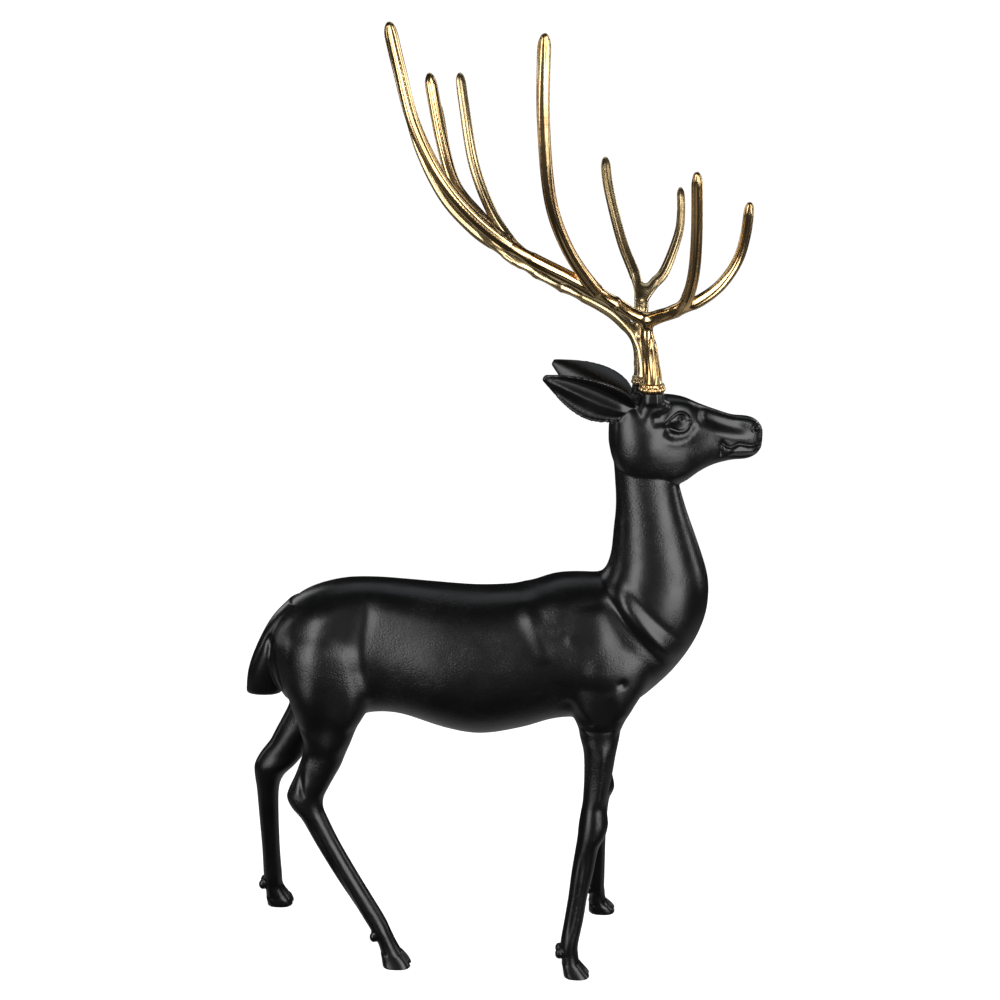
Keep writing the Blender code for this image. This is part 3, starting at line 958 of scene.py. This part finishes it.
    def rough_skin(self) -> Mesh:
        """The whole figure in one skin, with its joins eased, before any mark is made.

        The trunk is fused and eased on its own first, so that its broad joins are softer than the rest.

        Returns:
            The skin, in metres.
        """
        trunk = Shells()
        trunk.add(loft(self.trunk, Axis.X))
        trunk.add(loft(self.neck, Axis.Z))
        for leg in self.legs():
            trunk.add(loft(self.drawn_in(leg[:7], self.thigh_insets), Axis.Z))
        whole = Shells()
        whole.add_mesh(Clay.fused(trunk, "trunk", self.trunk_grain, self.trunk_rounds))
        whole.add(turned(loft(self.head, Axis.X, squareness=2.6), HEAD_TURN))
        x, y, z = self.eye
        for side in (-1, 1):
            whole.add(turned(egg((x, side * y, z), (self.eye_radius,) * 3), HEAD_TURN))
        whole.add(loft(self.drawn_in(self.neck[7:], self.nape_insets), Axis.Z))
        whole.add(loft(self.tail, Axis.Z))
        for leg in self.legs():
            slices = self.set_down(self.drawn_in(leg[3:], self.leg_insets))
            whole.add(loft(slices, Axis.Z, sides=32, squareness=2.0))
            whole.add(loft(slices[-4:], Axis.Z, sides=32, squareness=2.7))
        for x, y, z in self.dewclaws:
            for spread in (-self.claw_spread, self.claw_spread):
                whole.add(egg((x, y + spread, z), self.claw_radii))
        for ear in self.ears():
            whole.add(ear.skin())
        back, share, depth, swell = np.array(self.stub_rows).T
        for x, y in self.stubs:
            upright = np.stack((x - back, share * y, SEAT_LEVEL - depth), axis=1)
            whole.add(rod(upright, self.stub_radius * swell, np.ones((len(upright), 40))))
            whole.add(egg((x + 1, 0.72 * y, SEAT_LEVEL - 17), self.mound_radii))
        mesh = Clay.fused(whole, self.name, self.grain, self.rounds)
        spots = [((x, side * y, z), reach) for x, y, z, reach in self.trunk_joins for side in (-1, 1)]
        spots += [((x, y, z), reach) for x, y, z, reach in self.limb_joins]
        spots += [((x, 2.0 * y, SEAT_LEVEL - 24), 15) for x, y in self.stubs]
        Clay.eased(mesh, spots, self.join_rounds)
        return mesh

    def muscle_marks(self) -> tuple[Mark, ...]:
        """The broad forms of the trunk and the limbs, seen from the side: x and z."""
        return (
            Mark(((-194, 424), (-192, 370), (-200, 290)), 23, 3.4),
            Mark(((-222, 410), (-220, 370), (-222, 310)), 14, 1.0),
            Mark(((-180, 352), (-184, 314), (-192, 262), (-206, 214)), 10, -1.6),
            Mark(((-150, 354), (-154, 320), (-168, 278), (-188, 232)), 13, 1.8),
            Mark(((-136, 430), (-143, 380), (-146, 322)), 9, -1.3),
            Mark(((22, 440), (38, 404), (56, 366)), 9, 1.6),
            Mark(((66, 440), (66, 390), (62, 330)), 16, 1.0),
            Mark(((102, 430), (106, 390), (100, 335)), 20, 2.8),
            Mark(((118, 450), (143, 418), (162, 396), (192, 366)), 8, 3.0),
            Mark(((104, 456), (132, 410), (152, 388), (180, 356)), 5.5, -1.6),
            Mark(((128, 458), (152, 427), (172, 406), (200, 382)), 5, -0.8),
            Mark(((131, 346),), 4.5, -1.5),
            Mark(((118, 340), (128, 322), (132, 300)), 9, 1.2),
            Mark(((70, 326), (84, 306), (100, 292)), 7, -1.6),
            Mark(((-248, 384), (-242, 341), (-236, 306)), 5, -3.0),
            Mark(((61, 403),), 5, -0.8),
            Mark(((76, 393),), 5, -0.7),
        )

    def leg_marks(self) -> tuple[Mark, ...]:
        """Seams, tendons, knees, hocks, coronets and clefts."""
        marks = [
            Mark(((84, 292), (102, 289), (128, 291)), 3.0, -0.9, Side.RIGHT),
            Mark(((94, 292), (112, 289), (138, 291)), 3.0, -0.9, Side.LEFT),
            Mark(((113, 274), (111, 228), (108, 196)), 5, 1.3, Side.RIGHT),
            Mark(((120, 274), (117, 228), (116, 196)), 5, 1.3, Side.LEFT),
            Mark(((108, -44, 176),), 9, 1.2, Side.ALL_ROUND),
            Mark(((116, 42, 182),), 9, 1.2, Side.ALL_ROUND),
            Mark(((-214, 256), (-215, 224), (-212, 196)), 3.6, -1.3, Side.RIGHT),
            Mark(((-247, 258), (-262, 224), (-266, 196)), 3.6, -1.3, Side.LEFT),
            Mark(((-208, 178), (-186, 128), (-148, 50)), 3.4, -1.4, Side.RIGHT),
            Mark(((-275, 176), (-277, 110), (-277, 46)), 3.4, -1.4, Side.LEFT),
            Mark(((94, 150), (88, 95), (79, 42)), 3.4, -1.3, Side.RIGHT),
            Mark(((110, 150), (110, 95), (110, 42)), 3.4, -1.3, Side.LEFT),
        ]
        for toe, heel, y in self.hooves:
            front = toe + 1
            cleft = ((front, y, -3), (front - 5, y, 7), (front - 13, y + 1, 18))
            marks.append(Mark(cleft, 1.9, -2.6, Side.ALL_ROUND, 0.1))
            marks.append(Mark(((toe - 2, y, 17), (heel, y, 13)), 2.2, 0.8, Side.ALL_ROUND, 0.0))
        return tuple(marks)

    def head_marks(self) -> tuple[Mark, ...]:
        """The broad forms of the straight head."""
        return (
            Mark(((177, 624),), 9.5, -5.0),
            Mark(((155, 623), (167, 622)), 6.5, -3.2, fade=0),
            Mark(((160, 638), (172, 642), (184, 640), (198, 633)), 4.5, 0.8),
            Mark(((162, 613), (168, 608.5), (177, 606), (187, 608), (193, 614), (196, 622)), 4.2, -2.6),
            Mark(((162, 604), (169, 600), (177, 598.5), (187, 600), (195, 604)), 3.4, 0.6),
            Mark(((146, 598),), 20, 2.2),
            Mark(((128, 632),), 6, 1.8),
            Mark(((130, 642), (144, 636), (160, 638)), 4, -0.8),
            Mark(((192, 617), (209, 610), (226, 604), (245, 600), (272, 599)), 4.2, 1.0),
            Mark(((200, 628), (216, 620), (236, 613), (262, 608)), 7.0, -3.4),
            Mark(((224, 598), (212, 590), (196, 578)), 10, 0.6),
            Mark(((168, 560), (190, 564), (215, 578)), 7, 1.0),
        )

    def face_marks(self) -> tuple[Mark, ...]:
        """Lids, lips and nostrils of the straight head."""
        x, z = self.nostril
        ring = tuple((x + 4.4 * math.cos(a), z + 4.0 * math.sin(a))
                     for a in (2 * math.pi * k / 8 for k in range(9)))
        return (
            Mark(((165, 617.5), (172, 624.5), (180, 628.5), (187, 626), (190.5, 620)), 1.4, 1.6, fade=0.12),
            Mark(((166, 616), (172, 613), (180, 610.8), (186, 612.3), (190, 616)), 1.4, 1.2, fade=0.15),
            Mark(((226, 595), (236, 589), (246, 592), (258, 590), (274, 591)), 1.5, -2.8, fade=0.1),
            Mark(((226.5, 600), (226.5, 579)), 1.8, -1.6),
            Mark(((235, 585), (250, 585.5), (266, 584)), 2.6, 1.6),
            Mark(((234, 580), (250, 578.5), (266, 580)), 1.7, -1.1),
            Mark(((x, z),), 2.6, -3.8),
            Mark(ring, 1.3, 1.0, fade=0),
            Mark(((273, 0, 612), (274, 0, 592)), 1.5, -1.0, Side.ALL_ROUND),
            Mark(((154, 654), (155, 636)), 2.6, 1.2, Side.RIGHT),
        )

    def ear_marks(self) -> tuple[Mark, ...]:
        """The raised rims of the ears."""
        marks = []
        for ear in self.ears():
            skin = ear.skin()[:, ear.across:]
            for column in (1, -2):  # the columns beside the two edges of the open side
                marks.append(Mark(tuple(map(tuple, skin[4:-3:5, column])), 1.5, 1.4, Side.ALL_ROUND))
        return tuple(marks)

    def head_share(self, mesh: Mesh, start: float, depth: float) -> Array:
        """Shares that keep marks on the head: 0 up to the start level and 1 from a depth above it."""
        points = Clay.read(mesh)
        return np.clip((points[:, 2] - start) / depth, 0, 1) * (points[:, 0] > self.head_rear)

    def build(self, finish: bpy.types.Material) -> bpy.types.Object:
        """Models, carves and dresses the casting.

        Args:
            finish: Its material.

        Returns:
            The object.
        """
        mesh = self.rough_skin()
        below_neck = np.clip((520 - Clay.read(mesh)[:, 2]) / 20, 0, 1)
        on_head = self.head_share(mesh, 530, 20)
        Clay.mark(mesh, self.muscle_marks(), clear=below_neck)
        Clay.mark(mesh, self.head_marks(), HEAD_TURN, on_head)
        Clay.refined(mesh, Clay.read(mesh)[:, 2] > self.fine_level)
        Clay.mark(mesh, self.face_marks(), HEAD_TURN, self.head_share(mesh, self.fine_level, 10))
        Clay.mark(mesh, self.ear_marks())
        Clay.mark(mesh, self.leg_marks())
        Clay.press_flat(mesh, 0.0, 1.6)
        return self.place(Clay.thinned(mesh, self.triangles), finish)


@dataclass
class Tine:
    """One bar of an antler: its path, and its thickness at the root and at the tip."""

    path: tuple[Point, ...]
    root: float
    tip: float
    flutes: float = 0.055
    phase: float = 0.0
    blunt: float = 2.8
    spacing: float = 1.5
    cap_rows: int = 12
    sides: int = 80
    # Of each wave round the bar: how many, share of the flutes, and how fast it turns along the bar
    waves: tuple[Row, ...] = ((2, 1.0, 1.0), (3, 0.5, 4.0), (5, 1.3, -0.7), (8, 0.7, 0.5))

    def skin(self, thickness: float) -> Array:
        """A fluted round bar with a blunt, rounded tip.

        The radius is the tip's share plus the difference times (1 - t)^2.2. Round the bar it swells by the
        flutes' share with the cosines of a few times the angle, which turn slowly along it, and the last
        stretch, blunt times the radius long, closes like the end of an egg.

        Args:
            thickness: Radius of a middling bar, in thousandths.

        Returns:
            Points of shape (rows, sides, 3).
        """
        path = through(self.path, 14)
        step = np.linalg.norm(np.diff(path, axis=0), axis=1)
        length = np.concatenate(((0.0,), np.cumsum(step)))
        t = np.linspace(0, 1, len(path))
        radius = thickness * (self.tip + (self.root - self.tip) * (1 - t) ** 2.2)
        close = self.blunt * radius[-1]
        cap = length[-1] - close * (1 - np.sin(np.linspace(0, np.pi / 2, self.cap_rows)))
        stations = np.concatenate((np.arange(0, length[-1] - close, self.spacing), cap))
        path = np.stack([np.interp(stations, length, path[:, k]) for k in range(3)], axis=1)
        radius = np.interp(stations, length, radius)
        left = np.clip(1 - (length[-1] - stations) / close, 0, 1)
        radius = radius * np.sqrt(np.clip(1 - left ** 2.4, 0.0016, 1))
        angle = 2 * np.pi * np.arange(self.sides)[None] / self.sides
        slow = stations[:, None] * 0.010 + self.phase
        section = np.ones((1, 1))
        for count, part, turn in self.waves:
            section = section + part * self.flutes * np.cos(count * angle + turn * slow)
        return rod(path, radius, section)


@dataclass
class Antler(Piece):
    """One polished antler: its tines grown together, its fluted column and its beaded collar."""

    stub: tuple[float, float] = (154, -18)
    tines: tuple[Tine, ...] = ()
    slot: str = "polished_brass"
    grain: float = 0.85
    rounds: int = 2
    triangles: int = 190000
    thickness: float = 5.571
    stub_radius: float = 12.571
    lip: float = 1.43
    webs: tuple[tuple[Point, Point], ...] = ()
    joins: tuple[tuple[Point, float], ...] = ()
    join_rounds: int = 100
    bead: float = 2.714
    beads: int = 14
    small_bead: float = 0.62
    gap: float = 0.43
    grooves: int = 7
    # Up a groove of the column: its middle's x and y from the stub, how far out it lies, and its height
    groove_rows: tuple[Row, ...] = ((0, 0, 11, 9), (-2, -2, 9, 34), (-5, -6, 8, 60))

    def collar(self, shells: Shells) -> None:
        """Adds the ring of beads: two rows of unlike knobs on a low cone.

        Args:
            shells: Where they go.
        """
        x, y = self.stub
        seat = SEAT_LEVEL + self.gap
        ring = self.stub_radius + self.lip - self.bead
        path = np.array(((x, y, seat), (x, y, seat + 2.9 * self.bead)))
        shells.add(rod(path, np.array((ring + 0.4 * self.bead, ring + 0.2 * self.bead)), np.ones((2, 56))))
        for k in range(self.beads):
            angle = 2 * math.pi * k / self.beads
            wander = math.sin(12.9 * k + x)
            size = self.bead * (1 + 0.12 * wander)
            out = ring - 0.1 * abs(wander) * self.bead
            shells.add(egg((x + out * math.cos(angle), y + out * math.sin(angle), seat + 0.9 * self.bead),
                           (size, size, size * (1 + 0.1 * wander))))
            between = angle + math.pi / self.beads
            small = self.small_bead * self.bead * (1 + 0.2 * math.sin(7.3 * k))
            shells.add(egg((x + ring * math.cos(between), y + ring * math.sin(between),
                            seat + 2.35 * self.bead), (small, small, small)))

    def column_marks(self) -> tuple[Mark, ...]:
        """The grooves up the column, evenly round it."""
        x, y = self.stub
        angles = (0.3 + 2 * math.pi * k / self.grooves for k in range(self.grooves))
        return tuple(
            Mark(tuple((x + dx + out * math.cos(a), y + dy + out * math.sin(a), SEAT_LEVEL + up)
                       for dx, dy, out, up in self.groove_rows), 1.7, -1.3, Side.ALL_ROUND)
            for a in angles)

    def build(self, finish: bpy.types.Material) -> bpy.types.Object:
        """Models and dresses the antler.

        Args:
            finish: Its material.

        Returns:
            The object.
        """
        shells = Shells()
        for tine in self.tines:
            shells.add(tine.skin(self.thickness))
        for middle, radii in self.webs:
            shells.add(egg(middle, radii))
        self.collar(shells)
        mesh = Clay.fused(shells, self.name, self.grain, self.rounds, exact=True)
        Clay.eased(mesh, self.joins, self.join_rounds)
        Clay.mark(mesh, self.column_marks())
        Clay.press_flat(mesh, SEAT_LEVEL + self.gap, 1.2)
        return self.place(Clay.thinned(mesh, self.triangles), finish)


def right_antler() -> Antler:
    """The antler on the near side."""
    return Antler("stag_right_antler", "right_antler", stub=(154, -18), webs=(
        ((150, -33, 725), (11, 7, 6)),
    ), joins=(
        ((148, -32, 723), 27), ((163, -43, 733), 14), ((178, -57, 743), 14), ((126, -36, 736), 16),
        ((104, -47, 750), 14), ((23, -76, 797), 14), ((2, -77, 813), 12),
    ), tines=(
        Tine(((154, -18, 651.5), (154, -18, 668), (151, -21, 689), (147, -27, 712), (146, -30, 724)),
             2.05, 1.3, 0.03),
        Tine(((146, -28, 724), (159, -40, 731), (172, -52, 738), (181, -64, 750), (186, -80, 778),
              (186, -98, 820), (182, -122, 873)), 1.45, 0.95, phase=0.4),
        Tine(((163, -42, 732), (179, -54, 741), (197, -62, 751), (214, -70, 767), (227, -78, 790),
              (232, -87, 815), (233, -98, 845)), 1.25, 0.88, phase=1.3),
        Tine(((146, -28, 724), (126, -36, 735), (107, -46, 748), (90, -58, 764), (67, -82, 801),
              (51, -104, 848), (45, -126, 918), (46, -142, 990)), 1.35, 1.05, phase=2.1),
        Tine(((126, -36, 736), (92, -52, 757), (70, -60, 770), (23, -76, 796), (-18, -90, 828),
              (-49, -101, 866), (-71, -112, 913), (-83, -122, 964), (-90, -130, 1000)), 1.3, 1.0, phase=3.0),
        Tine(((23, -74, 797), (1, -76, 814), (-17, -74, 831), (-39, -66, 857), (-52, -56, 897),
              (-64, -45, 958)), 1.1, 1.0, phase=4.2),
    ))


def left_antler() -> Antler:
    """The antler on the far side."""
    return Antler("stag_left_antler", "left_antler", stub=(148, 18), webs=(
        ((145, 51, 744), (9, 7, 6)),
    ), joins=(
        ((142, 27, 694), 22), ((143, 36, 716), 12), ((145, 51, 745), 18), ((75, 58, 740), 14),
        ((50, 68, 750), 16), ((24, 79, 766), 16), ((-4, 86, 782), 12),
    ), tines=(
        Tine(((148, 18, 651.5), (147, 19, 662), (145, 22, 678), (142, 25, 690), (140, 28, 700)),
             2.05, 1.3, 0.03),
        Tine(((143, 24, 688), (143, 31, 706), (144, 41, 726), (145, 50, 744)), 1.2, 1.35, 0.03),
        Tine(((143, 32, 710), (143, 43, 732), (138, 59, 756), (124, 80, 790),
              (109, 103, 844), (105, 114, 874)), 1.3, 0.88, phase=0.9),
        Tine(((142, 43, 732), (155, 56, 747), (168, 66, 760), (182, 83, 795), (185, 92, 819),
              (184, 101, 844)), 1.35, 0.75, phase=1.9),
        Tine(((145, 22, 680), (137, 28, 700), (120, 38, 717), (101, 47, 728), (75, 58, 739), (51, 68, 749),
              (27, 80, 767), (7, 90, 788), (-15, 102, 819), (-34, 116, 866), (-45, 129, 926),
              (-50, 135, 959)), 1.3, 0.92, phase=2.6),
        Tine(((75, 58, 741), (49, 69, 750), (21, 79, 765), (-7, 87, 782), (-33, 94, 799), (-64, 102, 831),
              (-89, 110, 878), (-105, 118, 928), (-108, 120, 941)), 1.1, 0.9, phase=3.5),
        Tine(((21, 79, 763), (-5, 84, 781), (-25, 80, 803), (-53, 66, 853), (-64, 52, 915),
              (-67, 49, 932)), 1.0, 0.85, phase=5.0),
    ))


@dataclass(frozen=True)
class Softbox:
    """One soft studio light."""

    name: str
    spot: Point
    width: float
    height: float
    watts: float
    colour: Point = (1.0, 1.0, 1.0)
    aim: Point = (0.0, 0.0, 0.36)

    def hang(self) -> None:
        """Puts the light up, turned to what it lights."""
        lamp = bpy.data.lights.new(self.name, "AREA")
        lamp.shape = "RECTANGLE"
        lamp.size = self.width
        lamp.size_y = self.height
        lamp.energy = self.watts
        lamp.color = self.colour
        item = stood(self.name, lamp)
        item.location = self.spot
        item.rotation_euler = (Vector(self.aim) - Vector(self.spot)).to_track_quat("-Z", "Y").to_euler()


@dataclass
class Studio:
    """A pale floor, a white surround, soft lights and the camera."""

    floor_radius: float = 0.85
    floor_level: float = -0.0002
    rings: int = 12
    sides: int = 96
    surround: float = 0.018
    front_glow: float = 0.085
    floor_glow: float = 0.42
    lens: float = 50.4
    camera_spot: Point = (0.0586, -0.9808, 0.6660)
    camera_turn: Point = (73.3, 0.0, 3.0)

    def softboxes(self) -> tuple[Softbox, ...]:
        """The lights, in metres and watts."""
        return (
            Softbox("right_softbox", (1.08, -1.45, 0.66), 1.00, 2.1, 35.0),
            Softbox("left_softbox", (-1.02, -1.45, 0.62), 0.75, 2.1, 27.0),
            Softbox("top_softbox", (0.0, 0.80, 2.0), 1.9, 1.2, 5.0, (0.88, 0.94, 1.0)),
            Softbox("right_strip", (1.90, 0.25, 0.6), 0.25, 1.0, 4.5),
            Softbox("left_strip", (-1.90, 0.10, 0.6), 0.25, 1.0, 2.5),
            Softbox("rear_right_softbox", (1.30, 1.50, 0.9), 0.45, 1.4, 6.0),
            Softbox("rear_left_softbox", (-1.30, 1.50, 0.9), 0.45, 1.4, 3.5),
        )

    def floor(self) -> bpy.types.Object:
        """A pale disc: the point at radius r and angle a lies at r times the cosine and the sine of a.

        Returns:
            The object.
        """
        radius = self.floor_radius * (np.arange(1, self.rings + 1)[:, None] / self.rings) ** 2
        angle = 2 * np.pi * np.arange(self.sides) / self.sides
        level = self.floor_level + 0 * radius * angle
        ring = np.stack((radius * np.cos(angle), radius * np.sin(angle), level), axis=-1).reshape(-1, 3)
        points = np.concatenate((ring, ((0.0, 0.0, self.floor_level),)))
        ids = np.arange(self.rings * self.sides).reshape(self.rings, self.sides)
        beside = np.roll(ids, -1, axis=1)
        quads = np.stack((ids[:-1], ids[1:], beside[1:], beside[:-1]), axis=-1).reshape(-1, 4)
        fan = np.stack((ids[0], beside[0], np.full(self.sides, self.rings * self.sides)), axis=-1)
        mesh = bpy.data.meshes.new("studio_floor")
        mesh.from_pydata(points, [], quads.tolist() + fan.tolist())
        made = bpy.data.materials.new("pale_floor")
        shop = Shop(made)
        shader = shop.node("BsdfPrincipled", {}, {
            "Base Color": (0.86, 0.86, 0.86, 1.0), "Roughness": 0.9,
            "Emission Color": (1.0, 1.0, 1.0, 1.0), "Emission Strength": 0.8}, "BSDF")
        shop.finish("OutputMaterial", shader)
        mesh.materials.append(made)
        item = stood("studio_floor", mesh)
        item.visible_glossy = False
        item.visible_diffuse = False
        return item

    def world(self) -> None:
        """A surround that the camera sees white. Its light is dim, with a glow in front and one of the floor.

        The floor glows only behind the figure, which is what a belly or an underside mirrors.
        """
        world = bpy.data.worlds.new("studio_surround")
        bpy.context.scene.world = world
        shop = Shop(world)
        way = shop.node("TexCoord", output="Generated")
        depth, height = (shop.node("SeparateXYZ", {}, {"Vector": way}, axis) for axis in "YZ")
        room = self.surround + self.front_glow * (1 - shop.window(depth, -0.97, -0.70))
        under = (1 - shop.window(height, -0.80, -0.30)) * shop.window(depth, -0.35, 0.10)
        light = shop.between(under, room, self.floor_glow)
        seen = shop.node("LightPath", output="Is Camera Ray")
        strength = shop.between(seen, light, 1.05)
        shader = shop.node("Background", {}, {
            "Color": (1.0, 1.0, 1.0, 1.0), "Strength": strength}, "Background")
        shop.finish("OutputWorld", shader)

    def camera(self) -> None:
        """The camera at the photograph's place and angle."""
        data = bpy.data.cameras.new("camera")
        data.sensor_width = 36.0
        data.lens = self.lens
        item = stood("camera", data)
        item.location = self.camera_spot
        item.rotation_euler = Euler([math.radians(a) for a in self.camera_turn])
        bpy.context.scene.camera = item

    def build(self) -> None:
        """Sets the studio up."""
        self.floor()
        self.world()
        for box in self.softboxes():
            box.hang()
        self.camera()
        bpy.context.scene.view_settings.view_transform = "Standard"


def main() -> None:
    logging.basicConfig(level=logging.INFO, format="%(message)s")
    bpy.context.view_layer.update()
    StagBody().build(SatinBlack().make())
    right_antler().build(PolishedBrass().make())
    left_antler().build(left_shaded_brass())
    Studio().build()


if __name__ == "__main__":
    main()
